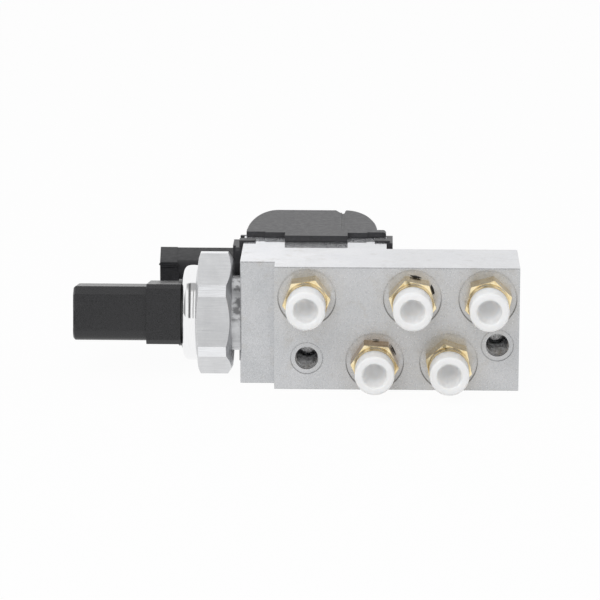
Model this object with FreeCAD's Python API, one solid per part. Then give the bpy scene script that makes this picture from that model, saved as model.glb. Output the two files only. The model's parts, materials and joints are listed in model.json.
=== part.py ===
"""Solenoid valve block with five tube ports, a pressure sensor and a cover over four solenoids.

All sizes are in millimetres. The model is laid out in the block's own frame: X runs along the
block from its left end, Y goes from the ported face to the back, and Z goes up from the bottom
face. Every piece is moved at the end so that the origin is where the left fixing hole meets
the ported face.
"""
import FreeCAD, Part
import math
import os

V = FreeCAD.Vector
ALONG_X = V(1, 0, 0)
ALONG_Y = V(0, 1, 0)
ALONG_Z = V(0, 0, 1)
OVERCUT = 1.0                   # how far a cutting tool starts outside the face it cuts

# ---- aluminium block -------------------------------------------------------------------
block_length = 80.0
block_height = 36.0
block_depth = 24.5              # right of the rear boss
boss_width = 42.0               # rear boss that carries the solenoids
boss_depth = 41.0
step_width = 10.0               # set-back land at the left end of the ported face
step_depth = 6.5
edge_break = 0.35

# ---- fixing holes, tapped M8 from the ported face --------------------------------------
fixing_tap_radius = 3.325
fixing_depth = 16.0
fixing_left_x = 19.3
fixing_left_z = 9.3
fixing_right_from_end = 6.2
fixing_right_z = 13.5
fixing_ring_radius = 4.7        # turned ring round each hole
ring_groove_width = 0.25
ring_groove_depth = 0.2

# ---- ports -----------------------------------------------------------------------------
upper_port_drop = 8.9           # below the block's top face
lower_port_z = 8.5
port_1_x = 19.3
port_2_x = 49.4
port_3_from_end = 9.1
port_4_x = 38.8
port_5_from_end = 20.1
spotface_radius = 8.25
spotface_depth = 0.3
port_thread_radius = 4.5
port_thread_depth = 12.0
port_seal_seat_radius = 5.6
port_seal_seat_depth = 1.2
seal_play = 0.03                # between a seal and the walls beside it

# ---- brass port fittings ---------------------------------------------------------------
fitting_across_flats = 12.0
fitting_hex_height = 6.9
fitting_chamfer_angle = 30.0
fitting_collar_radius = 5.95    # of the round collar in front of the hexagon
fitting_collar_length = 2.5
fitting_collar_edge = 0.25
fitting_shank_length = 9.0
fitting_play = 0.05             # shank in its tapped hole
fitting_corner_radius = 6.85    # the hexagon's corners are turned down to this
fitting_turn = [8.5, -12.5, 16.5, -4.0, -17.5]  # how far each hexagon is screwed round, degrees
tube_socket_radius = 3.05
tube_socket_depth = 10.6
fitting_way_radius = 2.0
collet_length = 1.8
collet_wall = 1.3
collet_setback = 0.9
collet_play = 0.05
tube_seal_thickness = 1.4
tube_seal_setback = 3.8

# ---- white transit plugs ---------------------------------------------------------------
plug_head_radius = 5.6
plug_head_length = 7.6
plug_hollow_radius = 3.42
plug_floor = 1.0                # behind the domed end of the hollow
plug_stub_radius = 3.0
plug_stub_length = 10.2
plug_lift = 0.1                 # head clear of the fitting's face
plug_edge = 0.35

# ---- pressure sensor, screwed into the left end ----------------------------------------
sensor_y = 19.0
sensor_below_middle = 0.1       # of the block's height
sensor_thread_radius = 4.9
sensor_thread_length = 9.5
sensor_neck_radius = 10.85
sensor_neck_length = 2.6
sensor_across_flats = 32.5
sensor_hex_turn = 4.0           # how far the hexagon is screwed round, degrees
sensor_corner_radius = 17.85
sensor_hex_length = 9.85
sensor_hex_chamfer = 1.4        # on the side towards the block
sensor_chamfer_slope = 1.52     # how fast its radius falls along the axis
sensor_outer_chamfer = 0.5      # on the side towards the collar
sensor_outer_slope = 3.1
sensor_well_radius = 12.6
sensor_well_depth = 8.2
sensor_way_radius = 1.5
collar_radius = 13.85
collar_length = 4.42
collar_shoulder = 2.2
collar_shoulder_length = 1.3
collar_crown = 0.15             # rise of its side towards the middle
collar_wall = 1.0
collar_mouth_radius = 10.4
ring_length = 0.43
ring_radius = 10.3
ring_wall = 0.5
shell_play = 0.1
shell_turn = 9.7                # how far the plastic shell is turned about its axis, degrees
base_length = 10.0
base_height = 17.4
base_width = 20.0
base_edge = 1.3
plug_length = 21.3
plug_height = 15.7
plug_width = 17.6
plug_corner = 2.3               # its two upper long edges, cut off
plug_round = 3.2                # its two lower long edges, rounded
plug_rim = 0.55
plug_wall = 2.1
plug_mouth_depth = 17.0
plug_scallop_radius = 4.7       # of the shallow scallop in the near side of the mouth's rim
plug_scallop_depth = 1.0
plug_scallop_sink = 0.8
plug_scallop_drop = 1.2
cell_radius = 9.0
cell_height = 3.6
board_radius = 11.4
board_thickness = 1.2
board_gap = 1.0
sensor_pin_pitch = 3.4
sensor_pin_width = 1.6
sensor_pin_thickness = 0.8
sensor_pin_reach = 10.5         # length that stands in the open mouth
sensor_seal_section = 0.62

# ---- solenoid valves behind the boss ---------------------------------------------------
valve_x = 13.8
valve_z = 9.4
valve_pitch_x = 14.3
upper_valve_drop = 8.8          # below the block's top face
chamber_radius = 4.8
chamber_depth = 7.0
seat_socket_radius = 2.6
seat_socket_depth = 3.5
seat_play = 0.02
seat_body_length = 3.0
seat_nose_radius = 1.5
seat_nose_length = 1.0
seat_orifice_radius = 0.9
tube_radius = 3.3
tube_wall = 0.3
tube_flange_radius = 4.7
tube_flange_thickness = 1.5
tube_flange_sink = 0.05         # flange below the boss's rear face
tube_seal_section = 0.62
core_play = 0.02
armature_play = 0.05            # running clearance of the armature in its tube
armature_length = 15.5
armature_nose = 0.6             # length of rubber that stands out of the armature
armature_seal_radius = 1.8
armature_seal_length = 1.9
seal_lift = 0.03
stroke = 0.9
stroke_reserve = 0.1
spring_pocket_radius = 1.75
spring_pocket_depth = 7.0
spring_radius = 1.3
spring_wire = 0.4
spring_turns = 6
spring_end_gap = 0.05

# ---- coils, yoke and contacts ----------------------------------------------------------
coil_gap = 0.35                 # from a coil's flange to the middle of its pitch
bobbin_play = 0.1
bobbin_wall = 0.6
bobbin_flange = 1.2
bobbin_length = 17.6
winding_play = 0.05
winding_recess = 0.3            # winding lies this far inside the flanges
yoke_thickness = 1.2
yoke_post_radius = 3.2
yoke_margin = 0.4               # plate ends this far inside the coils' flanges
assembly_gap = 0.1
terminal_size = 0.6
terminal_offset = 5.2
terminal_spacing = 2.4
carrier_thickness = 1.4
carrier_gap = 0.6

# ---- black cover -----------------------------------------------------------------------
cover_left_inset = 0.5
cover_right_inset = 2.8
cover_rear = 30.8               # from the boss's rear face to the cover's back
cover_left_sweep = 8.5          # half-widths of the two long rounded rear corners
cover_right_sweep = 9.7
cover_wall = 1.8
cover_bottom = 0.3              # above the block's bottom face
cover_rise = 1.5                # above the block's top face
cover_edge = 0.45
gasket_thickness = 1.0
gasket_margin = 0.9
gasket_width = 2.6
flange_thickness = 1.6
lip_play = 0.05
lip_reach = 1.7
lip_end_reach = 0.8
lip_end_width = 5.6
lip_end_round = 0.9             # upper corner of the right lip's end
tongue_left = 12.0
tongue_width = 18.5
tongue_reach = 7.6
tongue_rise = 0.35
notch_x = 28.1
notch_width = 3.3
notch_depth = 4.0
notch_floor_x = 28.5
notch_floor_width = 1.15
groove_x = 28.9
groove_width = 0.9
groove_depth = 0.3
groove_start = 2.0
clip_play = 0.15
left_clip_front = 9.4           # how far the left clip reaches forward along the boss
left_clip_thickness = 2.25
left_foot_thickness = 1.15
left_head_height = 10.0         # length of the clip's thick upper part
left_clip_drop = 1.65
left_ear_width = 0.9
left_ear_height = 6.0
left_ear_setback = 3.4
left_hook_drop = 0.25           # top of the hook below the block's top face
right_clip_front = 7.8
right_clip_thickness = 1.65
right_clip_drop = 0.25
clip_nib = 0.6
clip_nib_depth = 1.6
clip_nib_height = 16.0
clip_groove_play = 0.15
clip_bar_length = 3.5
clip_bar_depth = 3.3
clip_bar_height = 0.45
left_hook_width = 2.4

# ---- connector for the solenoids -------------------------------------------------------
connector_drop = 8.8            # its top below the block's top face
connector_height = 18.2
connector_near = 2.8            # from the boss's rear face to the connector's near side
connector_width = 21.9
connector_reach = 25.47         # left of the block
hood_length = 5.2
hood_step = 0.12
hood_corner = 1.2
hood_near_corner = 0.35
hood_groove_drop = 1.6          # below its top, in its near side
hood_groove_width = 0.3
hood_groove_depth = 0.25
hood_ridge_drop = 0.55          # moulding seam that stands out of its near side
hood_ridge_width = 0.32
hood_ridge_stand = 0.28
mouth_lean = 1.18               # how much further the hood reaches on the far side
body_corner = 4.0               # the two long edges towards the ports, behind the hood
connector_wall = 1.7
connector_mouth_depth = 17.0
connector_inner_reach = 5.4
window_play = 0.1
latch_length = 2.2
latch_height = 2.6
latch_stand = 0.9
latch_drop = 3.3
latch_setback = 3.4
pin_size = 0.6
pin_pitch = 2.8
pin_rows = 2
pins_per_row = 5
pin_row_spacing = 7.0
pin_reach = 10.5
pin_run_x = 6.0

# ---- drilled channels ------------------------------------------------------------------
channel_radius = 1.3
port_drill_radius = 1.2
channel_y = 20.0
supply_y = 37.5
ball_radius = 1.7
ball_play = 0.02
ball_sink = 0.3
channel_offset = 2.2            # channels of one row pass this far above and below its middle

# ---- values that follow from the sizes above -------------------------------------------
upper_port_z = block_height - upper_port_drop
sensor_z = block_height / 2 - sensor_below_middle
valve_pitch_z = block_height - upper_valve_drop - valve_z
connector_top = block_height - connector_drop
port_3_x = block_length - port_3_from_end
port_5_x = block_length - port_5_from_end
port_places = [
    (port_1_x, upper_port_z),
    (port_2_x, upper_port_z),
    (port_3_x, upper_port_z),
    (port_4_x, lower_port_z),
    (port_5_x, lower_port_z),
]
fixing_places = [
    (fixing_left_x, fixing_left_z),
    (block_length - fixing_right_from_end, fixing_right_z),
]
valve_places = [
    (valve_x, valve_z + valve_pitch_z),
    (valve_x + valve_pitch_x, valve_z + valve_pitch_z),
    (valve_x, valve_z),
    (valve_x + valve_pitch_x, valve_z),
]
valve_middle_x = valve_x + valve_pitch_x / 2
valve_middle_z = valve_z + valve_pitch_z / 2
fitting_face_y = spotface_depth - fitting_hex_height
fitting_front_y = fitting_face_y - fitting_collar_length
plug_back_y = fitting_front_y - plug_lift
plug_front_y = plug_back_y - plug_head_length
hex_inner_x = -sensor_neck_length
hex_outer_x = hex_inner_x - sensor_hex_length
collar_outer_x = hex_outer_x - collar_length
ring_outer_x = collar_outer_x - ring_length
base_outer_x = ring_outer_x - base_length
plug_outer_x = base_outer_x - plug_length
chamber_floor_y = boss_depth - chamber_depth
seat_front_y = chamber_floor_y - seat_body_length
seat_nose_y = chamber_floor_y + seat_nose_length
armature_front_y = seat_nose_y + seal_lift + armature_nose
armature_back_y = armature_front_y + armature_length
core_front_y = armature_back_y + stroke + stroke_reserve
tube_inner_radius = tube_radius - tube_wall
armature_radius = tube_inner_radius - armature_play
flange_front_y = boss_depth - tube_flange_sink - tube_flange_thickness
yoke_front_y = boss_depth + assembly_gap
bobbin_front_y = yoke_front_y + yoke_thickness + assembly_gap
bobbin_back_y = bobbin_front_y + bobbin_length
yoke_back_y = bobbin_back_y + assembly_gap
core_back_y = yoke_back_y + yoke_thickness
tube_back_y = yoke_back_y
carrier_y = core_back_y + carrier_gap
coil_radius = min(valve_pitch_x, valve_pitch_z) / 2 - coil_gap
cover_x0 = cover_left_inset
cover_x1 = boss_width - cover_right_inset
cover_z0 = cover_bottom
cover_z1 = block_height + cover_rise
cover_back_y = boss_depth + cover_rear
flange_y0 = boss_depth + gasket_thickness
flange_y1 = flange_y0 + flange_thickness
connector_y0 = boss_depth + connector_near
connector_z0 = connector_top - connector_height


# ---- small builders --------------------------------------------------------------------
def box(x0, x1, y0, y1, z0, z1):
    """A block between two corners."""
    return Part.makeBox(x1 - x0, y1 - y0, z1 - z0, V(x0, y0, z0))


def rod_x(radius, x0, x1, y, z):
    return Part.makeCylinder(radius, x1 - x0, V(x0, y, z), ALONG_X)


def rod_y(radius, y0, y1, x, z):
    return Part.makeCylinder(radius, y1 - y0, V(x, y0, z), ALONG_Y)


def rod_z(radius, z0, z1, x, y):
    return Part.makeCylinder(radius, z1 - z0, V(x, y, z0), ALONG_Z)


def seal_y(middle_radius, section, y, x, z):
    """An O-ring whose axis lies along Y."""
    return Part.makeTorus(middle_radius, section, V(x, y, z), ALONG_Y)


def fuse(shapes):
    whole = shapes[0]
    for shape in shapes[1:]:
        whole = whole.fuse(shape)
    return whole.removeSplitter()


def cut(shape, tools):
    for tool in tools:
        shape = shape.cut(tool)
    return shape


def group(shapes):
    """Separate solids that share one node."""
    return Part.makeCompound(shapes)


def polygon_face(points):
    return Part.Face(Part.makePolygon(points + [points[0]]))


def revolved_x(profile, y, z):
    """Turn a profile of (x, radius) points about a line along X."""
    points = [V(x, y + radius, z) for x, radius in profile]
    return polygon_face(points).revolve(V(0, y, z), ALONG_X, 360)


def revolved_y(profile, x, z):
    """Turn a profile of (y, radius) points about a line along Y."""
    points = [V(x + radius, y, z) for y, radius in profile]
    return polygon_face(points).revolve(V(x, 0, z), ALONG_Y, 360)


def hexagon_y(across_flats, y0, y1, x, z, turn):
    """A hexagonal bar along Y with a flat upwards, turned by some degrees."""
    corner = across_flats / 2 / math.cos(math.radians(30))
    points = []
    for k in range(6):
        angle = math.radians(60 * k + turn)
        points.append(V(x + corner * math.cos(angle), y0, z + corner * math.sin(angle)))
    return polygon_face(points).extrude(V(0, y1 - y0, 0))


def chamfered_bar_x(x0, x1, y, z, width, height, corner):
    """A bar along X whose four long edges are cut off at 45 degrees."""
    a = width / 2
    b = height / 2
    outline = [
        (-a + corner, -b), (a - corner, -b), (a, -b + corner), (a, b - corner),
        (a - corner, b), (-a + corner, b), (-a, b - corner), (-a, -b + corner),
    ]
    points = [V(x0, y + dy, z + dz) for dy, dz in outline]
    return polygon_face(points).extrude(V(x1 - x0, 0, 0))


def rounded_bar_x(x0, x1, y0, y1, z0, z1, near_corner, far_corner, lean=0.0):
    """A bar along X, its long edges at y0 and at y1 rounded, its ends leaning to -X at y1."""
    plan = [V(x0, y0, z0), V(x1, y0, z0), V(x1 - lean, y1, z0), V(x0 - lean, y1, z0)]
    bar = polygon_face(plan).extrude(V(0, 0, z1 - z0))
    for corner, y in ((near_corner, y0), (far_corner, y1)):
        along = [e for e in bar.Edges if abs(e.tangentAt(e.FirstParameter).x) > 0.99
                 and abs(e.BoundBox.Center.y - y) < 1e-6]
        bar = bar.makeFillet(corner, along)
    return bar


# ---- block -----------------------------------------------------------------------------
def fixing_hole(x, z):
    """Tools that cut one fixing hole and the turned ring round it."""
    outer = rod_y(fixing_ring_radius, -OVERCUT, ring_groove_depth, x, z)
    inner = rod_y(fixing_ring_radius - ring_groove_width, -OVERCUT, ring_groove_depth, x, z)
    return [rod_y(fixing_tap_radius, -OVERCUT, fixing_depth, x, z), outer.cut(inner)]


def port_hole(x, z):
    """Tools that cut one port: its spotface, its seal seat and its tapped hole."""
    return [
        rod_y(spotface_radius, -OVERCUT, spotface_depth, x, z),
        rod_y(port_seal_seat_radius, 0, spotface_depth + port_seal_seat_depth, x, z),
        rod_y(port_thread_radius, 0, port_thread_depth, x, z),
    ]


def valve_chamber(x, z):
    """Tools that cut one valve chamber and the socket of its seat."""
    floor = chamber_floor_y - seat_socket_depth
    return [
        rod_y(chamber_radius, chamber_floor_y, boss_depth + OVERCUT, x, z),
        rod_y(seat_socket_radius, floor, boss_depth, x, z),
    ]


def consumer_channels():
    """For each valve: the port it feeds, and the height of the channel between them."""
    upper = valve_z + valve_pitch_z
    return [
        (valve_places[0], port_places[1], upper - channel_offset),
        (valve_places[1], port_places[2], upper + channel_offset),
        (valve_places[2], port_places[3], valve_z - channel_offset),
        (valve_places[3], port_places[4], valve_z + channel_offset),
    ]


def supply_height():
    """Height of the drilling from the supply port to the supply channel."""
    return upper_port_z + port_thread_radius - port_drill_radius - channel_radius / 2


def drilled_channels():
    """Every drilling inside the block that joins ports, sensor and valve chambers."""
    tools = []
    socket_floor = chamber_floor_y - seat_socket_depth
    for (vx, vz), (px, pz), z in consumer_channels():
        tools.append(rod_x(channel_radius, vx, block_length + OVERCUT, channel_y, z))
        tools.append(rod_y(port_drill_radius, channel_y, socket_floor + OVERCUT, vx, z))
        tools.append(rod_y(port_drill_radius, port_thread_depth - OVERCUT, channel_y, px, z))
    for z in (valve_z, valve_z + valve_pitch_z):
        tools.append(rod_x(channel_radius, valve_x, boss_width + OVERCUT, supply_y, z))
    top = supply_height()
    tools.append(rod_z(channel_radius, -OVERCUT, top, valve_middle_x, supply_y))
    tools.append(rod_y(port_drill_radius, port_thread_depth - OVERCUT, supply_y, valve_middle_x, top))
    tools.append(rod_y(channel_radius, sensor_y, boss_depth + OVERCUT, valve_middle_x, sensor_z))
    tools.append(rod_x(channel_radius, 0, valve_middle_x, sensor_y, sensor_z))
    return tools


def ball_places():
    """Mouth of each drilling that a pressed ball closes, and the way out of it."""
    places = [(V(block_length, channel_y, z), ALONG_X) for _, _, z in consumer_channels()]
    for z in (valve_z, valve_z + valve_pitch_z):
        places.append((V(boss_width, supply_y, z), ALONG_X))
    places.append((V(valve_middle_x, supply_y, 0), V(0, 0, -1)))
    places.append((V(valve_middle_x, boss_depth, sensor_z), ALONG_Y))
    return places


def ball_seats():
    depth = 2 * ball_radius + ball_sink
    seats = []
    for mouth, way_out in ball_places():
        seats.append(Part.makeCylinder(ball_radius + ball_play, depth, mouth - way_out * depth, way_out))
    return seats


def clip_groove(x0, x1, front):
    """A groove in a side of the boss that a cover clip snaps into."""
    y0 = boss_depth - front + clip_nib_depth - clip_groove_play
    y1 = y0 + clip_nib_depth + 2 * clip_groove_play
    half = clip_nib_height / 2 + clip_groove_play
    return box(x0, x1, y0, y1, valve_middle_z - half, valve_middle_z + half)


def valve_block():
    main = box(step_width, block_length, 0, block_depth, 0, block_height)
    left = box(0, step_width, step_depth, block_depth, 0, block_height)
    boss = box(0, boss_width, block_depth, boss_depth, 0, block_height)
    solid = fuse([main, left, boss])
    outer = [e for e in solid.Edges if is_outer_edge(e)]
    solid = solid.makeChamfer(edge_break, outer)
    tools = []
    for x, z in fixing_places:
        tools += fixing_hole(x, z)
    for x, z in port_places:
        tools += port_hole(x, z)
    for x, z in valve_places:
        tools += valve_chamber(x, z)
    tools += drilled_channels()
    tools += ball_seats()
    seal_seat = sensor_thread_radius + 2 * sensor_seal_section + 2 * seal_play
    tools.append(rod_x(seal_seat, -OVERCUT, 2 * sensor_seal_section, sensor_y, sensor_z))
    tools.append(rod_x(sensor_thread_radius + fitting_play, 0, sensor_thread_length + OVERCUT,
                       sensor_y, sensor_z))
    groove = clip_nib + clip_groove_play
    tools.append(clip_groove(-OVERCUT, groove - clip_play, left_clip_front))
    tools.append(clip_groove(boss_width - groove + clip_play, boss_width + OVERCUT, right_clip_front))
    return cut(solid, tools)


def is_outer_edge(edge):
    """True for the block's upright corner edges and the edges of its ported face."""
    box_of = edge.BoundBox
    upright = box_of.XLength < 1e-6 and box_of.YLength < 1e-6
    x = box_of.Center.x
    y = box_of.Center.y
    if upright:
        inner_corner = abs(x - boss_width) < 1e-6 or abs(y - block_depth) < 1e-6
        return abs(x - block_length) < 1e-6 or not (inner_corner or abs(x - step_width) < 1e-6)
    return box_of.YLength < 1e-6 and (abs(y) < 1e-6 or abs(y - step_depth) < 1e-6)


def channel_balls():
    balls = []
    for mouth, way_out in ball_places():
        balls.append(Part.makeSphere(ball_radius, mouth - way_out * (ball_radius + ball_sink)))
    return group(balls)


# ---- port fittings and transit plugs ---------------------------------------------------
def collet_span():
    y0 = fitting_front_y + collet_setback
    return y0, y0 + collet_length


def tube_seal_span():
    y0 = fitting_front_y + tube_seal_setback
    return y0, y0 + tube_seal_thickness + 2 * seal_play


def port_fitting(x, z, turn):
    back = fitting_face_y + fitting_hex_height
    body = hexagon_y(fitting_across_flats, fitting_face_y, back, x, z, turn)
    slope = math.tan(math.radians(fitting_chamfer_angle))
    cone_end = fitting_face_y + (fitting_corner_radius - fitting_collar_radius) * slope
    turned = revolved_y([
        (fitting_face_y, 0),
        (fitting_face_y, fitting_collar_radius),
        (cone_end, fitting_corner_radius),
        (back, fitting_corner_radius),
        (back, 0),
    ], x, z)
    body = body.common(turned)
    collar = revolved_y([
        (fitting_front_y, 0),
        (fitting_front_y, fitting_collar_radius - fitting_collar_edge),
        (fitting_front_y + fitting_collar_edge, fitting_collar_radius),
        (fitting_face_y + OVERCUT, fitting_collar_radius),
        (fitting_face_y + OVERCUT, 0),
    ], x, z)
    shank = rod_y(port_thread_radius - fitting_play, back, back + fitting_shank_length, x, z)
    body = fuse([collar, body, shank])
    c0, c1 = collet_span()
    s0, s1 = tube_seal_span()
    seal_reach = tube_socket_radius + tube_seal_thickness + seal_play
    return cut(body, [
        rod_y(tube_socket_radius, fitting_front_y - OVERCUT, fitting_front_y + tube_socket_depth, x, z),
        rod_y(fitting_way_radius, fitting_front_y, back + fitting_shank_length + OVERCUT, x, z),
        rod_y(tube_socket_radius + collet_wall, c0 - collet_play, c1 + collet_play, x, z),
        rod_y(seal_reach, s0, s1, x, z),
    ])


def port_collet(x, z):
    """Gripping ring inside a fitting, split on one side."""
    y0, y1 = collet_span()
    ring = rod_y(tube_socket_radius + collet_wall - collet_play, y0, y1, x, z)
    bore = rod_y(tube_socket_radius + collet_play, y0 - OVERCUT, y1 + OVERCUT, x, z)
    slit = box(x - 0.4, x + 0.4, y0 - OVERCUT, y1 + OVERCUT, z, z + 2 * tube_socket_radius)
    return cut(ring, [bore, slit])


def port_o_ring(x, z):
    section = (port_seal_seat_radius - port_thread_radius) / 2 - seal_play
    middle = (port_seal_seat_radius + port_thread_radius) / 2
    return seal_y(middle, section, spotface_depth + section + seal_play, x, z)


def tube_seal(x, z):
    section = tube_seal_thickness / 2 - seal_play
    y0, y1 = tube_seal_span()
    middle = tube_socket_radius + tube_seal_thickness / 2 + seal_play
    return seal_y(middle, section, (y0 + y1) / 2, x, z)


def plug_dome_y():
    """Where the plug's hollow starts to close in a dome."""
    return plug_back_y - plug_floor - plug_hollow_radius


def transit_plug(x, z):
    stub_end = plug_back_y + plug_stub_length
    dome_y = plug_dome_y()
    profile = [
        (plug_front_y, 0),
        (plug_front_y, plug_head_radius - plug_edge),
        (plug_front_y + plug_edge, plug_head_radius),
        (plug_back_y - plug_edge, plug_head_radius),
        (plug_back_y, plug_head_radius - plug_edge),
        (plug_back_y, plug_stub_radius),
        (stub_end - plug_edge, plug_stub_radius),
        (stub_end, plug_stub_radius - plug_edge),
        (stub_end, 0),
    ]
    rim = revolved_y([
        (plug_front_y - OVERCUT, 0),
        (plug_front_y - OVERCUT, plug_hollow_radius + plug_edge + OVERCUT),
        (plug_front_y + plug_edge, plug_hollow_radius),
        (plug_front_y + plug_edge, 0),
    ], x, z)
    bore = rod_y(plug_hollow_radius, plug_front_y, dome_y, x, z)
    dome = Part.makeSphere(plug_hollow_radius, V(x, dome_y, z))
    return cut(revolved_y(profile, x, z), [rim, fuse([bore, dome])])


# ---- pressure sensor -------------------------------------------------------------------
def turned_on_sensor(shape, degrees):
    """Turn a piece about the sensor's axis so that its near side looks upwards."""
    shape.rotate(V(0, sensor_y, sensor_z), ALONG_X, -degrees)
    return shape


def sensor_hex_body():
    corner = sensor_across_flats / 2 / math.cos(math.radians(30))
    points = []
    for k in range(6):
        angle = math.radians(60 * k + 30)
        points.append(V(hex_outer_x, sensor_y + corner * math.cos(angle + math.pi / 3),
                        sensor_z + corner * math.sin(angle + math.pi / 3)))
    bar = turned_on_sensor(polygon_face(points).extrude(V(sensor_hex_length, 0, 0)), sensor_hex_turn)
    drop_in = sensor_hex_chamfer * sensor_chamfer_slope
    drop_out = sensor_outer_chamfer * sensor_outer_slope
    turned = revolved_x([
        (hex_outer_x, 0),
        (hex_outer_x, sensor_corner_radius - drop_out),
        (hex_outer_x + sensor_outer_chamfer, sensor_corner_radius),
        (hex_inner_x - sensor_hex_chamfer, sensor_corner_radius),
        (hex_inner_x, sensor_corner_radius - drop_in),
        (hex_inner_x, 0),
    ], sensor_y, sensor_z)
    body = bar.common(turned)
    neck = rod_x(sensor_neck_radius, hex_inner_x, 0, sensor_y, sensor_z)
    thread = rod_x(sensor_thread_radius, 0, sensor_thread_length, sensor_y, sensor_z)
    body = fuse([body, neck, thread])
    return cut(body, [
        rod_x(sensor_well_radius, hex_outer_x - OVERCUT, hex_outer_x + sensor_well_depth,
              sensor_y, sensor_z),
        rod_x(sensor_way_radius, hex_outer_x, sensor_thread_length + OVERCUT, sensor_y, sensor_z),
    ])


def sensor_crimp_collar():
    """Pressed steel collar, its shoulder rounded and its side crowned, rolled over the shell."""
    x0 = collar_outer_x
    x1 = hex_outer_x
    side = collar_radius - collar_crown
    shoulder_x = x0 + collar_shoulder_length
    share = 1 - math.cos(math.radians(45))

    def spot(x, radius):
        return V(x, sensor_y + radius, sensor_z)

    outline = Part.Wire([
        Part.makeLine(spot(x0, 0), spot(x0, side - collar_shoulder)),
        Part.Arc(spot(x0, side - collar_shoulder),
                 spot(x0 + share * collar_shoulder_length, side - share * collar_shoulder),
                 spot(shoulder_x, side)).toShape(),
        Part.Arc(spot(shoulder_x, side), spot((shoulder_x + x1) / 2, collar_radius),
                 spot(x1, side)).toShape(),
        Part.makeLine(spot(x1, side), spot(x1, 0)),
        Part.makeLine(spot(x1, 0), spot(x0, 0)),
    ])
    outer = Part.Face(outline).revolve(spot(0, 0), ALONG_X, 360)
    inner = rod_x(collar_radius - collar_wall, x0 + collar_wall, x1 + OVERCUT, sensor_y, sensor_z)
    rim = [e for e in inner.Edges if abs(e.BoundBox.XMax - (x0 + collar_wall)) < 1e-6]
    inner = inner.makeFillet(collar_shoulder - collar_wall, rim)
    mouth = rod_x(collar_mouth_radius, x0 - OVERCUT, x1, sensor_y, sensor_z)
    return cut(outer, [inner, mouth])


def sensor_seal_ring():
    x0 = ring_outer_x + shell_play / 2
    x1 = collar_outer_x - shell_play / 2
    ring = rod_x(ring_radius, x0, x1, sensor_y, sensor_z)
    return ring.cut(rod_x(ring_radius - ring_wall, x0 - OVERCUT, x1 + OVERCUT, sensor_y, sensor_z))


def sensor_connector_shell():
    """Plastic shell: a disc under the collar, a round boss, a square base and the plug."""
    disc_x0 = collar_outer_x + collar_wall + shell_play
    disc_radius = collar_radius - collar_wall - (collar_shoulder - collar_wall)
    disc = rod_x(disc_radius, disc_x0, hex_outer_x, sensor_y, sensor_z)
    spigot_radius = sensor_well_radius - shell_play
    spigot_x1 = hex_outer_x + sensor_well_depth - cell_height - board_gap - board_thickness - board_gap
    spigot = rod_x(min(spigot_radius, disc_radius), hex_outer_x, spigot_x1, sensor_y, sensor_z)
    boss_radius = ring_radius - ring_wall - shell_play
    boss = rod_x(boss_radius, ring_outer_x - OVERCUT, disc_x0, sensor_y, sensor_z)
    base = chamfered_bar_x(base_outer_x, ring_outer_x, sensor_y, sensor_z,
                           base_width, base_height, base_edge)
    a = plug_width / 2
    b = plug_height / 2
    outline = [(-a, -b), (a, -b), (a, b - plug_corner), (a - plug_corner, b),
               (-a + plug_corner, b), (-a, b - plug_corner)]
    points = [V(plug_outer_x, sensor_y + dy, sensor_z + dz) for dy, dz in outline]
    plug = polygon_face(points).extrude(V(base_outer_x - plug_outer_x, 0, 0))
    low = [e for e in plug.Edges if abs(e.BoundBox.Center.z - (sensor_z - b)) < 1e-6
           and e.BoundBox.XLength > 1]
    plug = plug.makeFillet(plug_round, low)
    ends = [e for e in plug.Edges if abs(e.BoundBox.XMax - plug_outer_x) < 1e-6]
    plug = plug.makeChamfer(plug_rim, ends)
    shell = fuse([disc, spigot, boss, base, plug])
    mouth = chamfered_bar_x(plug_outer_x - OVERCUT, plug_outer_x + plug_mouth_depth, sensor_y, sensor_z,
                            plug_width - 2 * plug_wall, plug_height - 2 * plug_wall, plug_corner / 2)
    scallop = rod_y(plug_scallop_radius, sensor_y - plug_width, sensor_y - a + plug_scallop_sink,
                    plug_outer_x + plug_scallop_depth - plug_scallop_radius,
                    sensor_z - plug_scallop_drop)
    well = rod_x(disc_radius - plug_wall, disc_x0 + collar_wall, spigot_x1 + OVERCUT,
                 sensor_y, sensor_z)
    shell = cut(shell, [mouth, scallop, well] + [sensor_pin_slot(k) for k in range(3)])
    return turned_on_sensor(shell, shell_turn)


def sensor_pin_span():
    return plug_outer_x + plug_mouth_depth - sensor_pin_reach, hex_outer_x + board_gap


def sensor_pin_place(k):
    return sensor_z + (k - 1) * sensor_pin_pitch


def sensor_pin_slot(k):
    """Slot for one pin in the shell, before the shell is turned."""
    x0, x1 = sensor_pin_span()
    z = sensor_pin_place(k)
    half_y = sensor_pin_width / 2 + seal_play
    half_z = sensor_pin_thickness / 2 + seal_play
    return box(x0, x1, sensor_y - half_y, sensor_y + half_y, z - half_z, z + half_z)


def sensor_pin(k):
    x0, x1 = sensor_pin_span()
    z = sensor_pin_place(k)
    pin = box(x0, x1, sensor_y - sensor_pin_width / 2, sensor_y + sensor_pin_width / 2,
              z - sensor_pin_thickness / 2, z + sensor_pin_thickness / 2)
    return turned_on_sensor(pin, shell_turn)


def sensor_o_ring():
    middle = sensor_thread_radius + sensor_seal_section + seal_play
    section = sensor_seal_section - seal_play
    return Part.makeTorus(middle, section, V(sensor_seal_section, sensor_y, sensor_z), ALONG_X)


def sensor_pressure_cell():
    """Ceramic cell on the floor of the sensor's well."""
    x1 = hex_outer_x + sensor_well_depth
    return rod_x(cell_radius, x1 - cell_height, x1, sensor_y, sensor_z)


def sensor_circuit_board():
    x1 = hex_outer_x + sensor_well_depth - cell_height
    return rod_x(board_radius, x1 - board_thickness, x1, sensor_y, sensor_z)


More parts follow.
